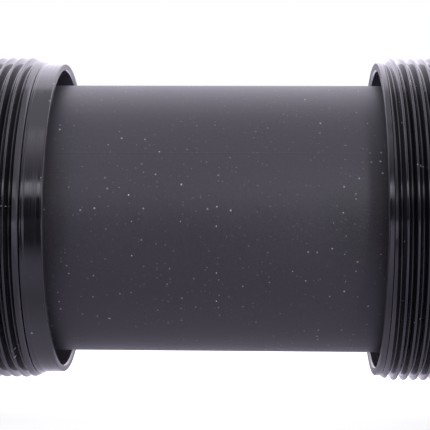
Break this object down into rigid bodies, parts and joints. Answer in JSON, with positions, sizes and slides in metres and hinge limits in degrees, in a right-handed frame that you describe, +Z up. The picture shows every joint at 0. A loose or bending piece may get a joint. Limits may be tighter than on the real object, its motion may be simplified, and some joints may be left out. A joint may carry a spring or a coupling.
{
  "type": "bicycle bottom bracket",
  "caption": "Threaded bicycle bottom bracket with outboard bearing cups joined by a hollow centre sleeve, for a through spindle.",
  "frame": {"origin": "on the spindle's axis, midway between the two flange faces that meet the frame's shell, at rest in a 68 mm shell", "axes": "+X along the spindle's axis towards the non-drive side, +Z up, drive side at -X"},
  "size_m": [0.09, 0.0436, 0.0436],
  "materials": {
    "anodised_cup": "glossy black anodised",
    "sleeve_plastic": "fine moulded grain, matt black",
    "cap_plastic": "satin black",
    "bearing_steel": "ground and polished",
    "seal_rubber": "matt",
    "cage_plastic": "moulded"
  },
  "bodies": {
    "drive_unit": {"centre_sleeve": "sleeve_plastic", "drive_cup": "anodised_cup", "drive_outer_race": "bearing_steel", "drive_inboard_seal": "seal_rubber", "drive_outboard_seal": "seal_rubber", "drive_o_ring": "seal_rubber", "nondrive_o_ring": "seal_rubber"},
    "drive_spinner": {"drive_inner_race": "bearing_steel", "drive_dust_cap": "cap_plastic"},
    "drive_ball_set": {"drive_ball_cage": "cage_plastic", "drive_ball_01": "bearing_steel", "drive_ball_02": "bearing_steel", "drive_ball_03": "bearing_steel", "drive_ball_04": "bearing_steel", "drive_ball_05": "bearing_steel", "drive_ball_06": "bearing_steel", "drive_ball_07": "bearing_steel", "drive_ball_08": "bearing_steel", "drive_ball_09": "bearing_steel", "drive_ball_10": "bearing_steel", "drive_ball_11": "bearing_steel", "drive_ball_12": "bearing_steel", "drive_ball_13": "bearing_steel", "drive_ball_14": "bearing_steel", "drive_ball_15": "bearing_steel"},
    "nondrive_unit": {"nondrive_cup": "anodised_cup", "nondrive_outer_race": "bearing_steel", "nondrive_inboard_seal": "seal_rubber", "nondrive_outboard_seal": "seal_rubber"},
    "nondrive_spinner": {"nondrive_inner_race": "bearing_steel", "nondrive_dust_cap": "cap_plastic"},
    "nondrive_ball_set": {"nondrive_ball_cage": "cage_plastic", "nondrive_ball_01": "bearing_steel", "nondrive_ball_02": "bearing_steel", "nondrive_ball_03": "bearing_steel", "nondrive_ball_04": "bearing_steel", "nondrive_ball_05": "bearing_steel", "nondrive_ball_06": "bearing_steel", "nondrive_ball_07": "bearing_steel", "nondrive_ball_08": "bearing_steel", "nondrive_ball_09": "bearing_steel", "nondrive_ball_10": "bearing_steel", "nondrive_ball_11": "bearing_steel", "nondrive_ball_12": "bearing_steel", "nondrive_ball_13": "bearing_steel", "nondrive_ball_14": "bearing_steel", "nondrive_ball_15": "bearing_steel"}
  },
  "joints": [
    {"name": "drive_bearing_spin", "type": "hinge", "parent": "drive_unit", "child": "drive_spinner", "pos_m": [-0.0403, 0, 0], "axis": [1, 0, 0], "continuous": true},
    {"name": "drive_ball_set_spin", "type": "hinge", "parent": "drive_unit", "child": "drive_ball_set", "pos_m": [-0.0403, 0, 0], "axis": [1, 0, 0], "continuous": true},
    {"name": "nondrive_cup_slide", "type": "slide", "parent": "drive_unit", "child": "nondrive_unit", "axis": [1, 0, 0], "range_m": [0, 0.005]},
    {"name": "nondrive_bearing_spin", "type": "hinge", "parent": "nondrive_unit", "child": "nondrive_spinner", "pos_m": [0.0403, 0, 0], "axis": [1, 0, 0], "continuous": true},
    {"name": "nondrive_ball_set_spin", "type": "hinge", "parent": "nondrive_unit", "child": "nondrive_ball_set", "pos_m": [0.0403, 0, 0], "axis": [1, 0, 0], "continuous": true}
  ],
  "couplings": [
    {"joint": "drive_ball_set_spin", "follows": "drive_bearing_spin", "ratio": 0.44355},
    {"joint": "nondrive_ball_set_spin", "follows": "nondrive_bearing_spin", "ratio": 0.44355}
  ]
}
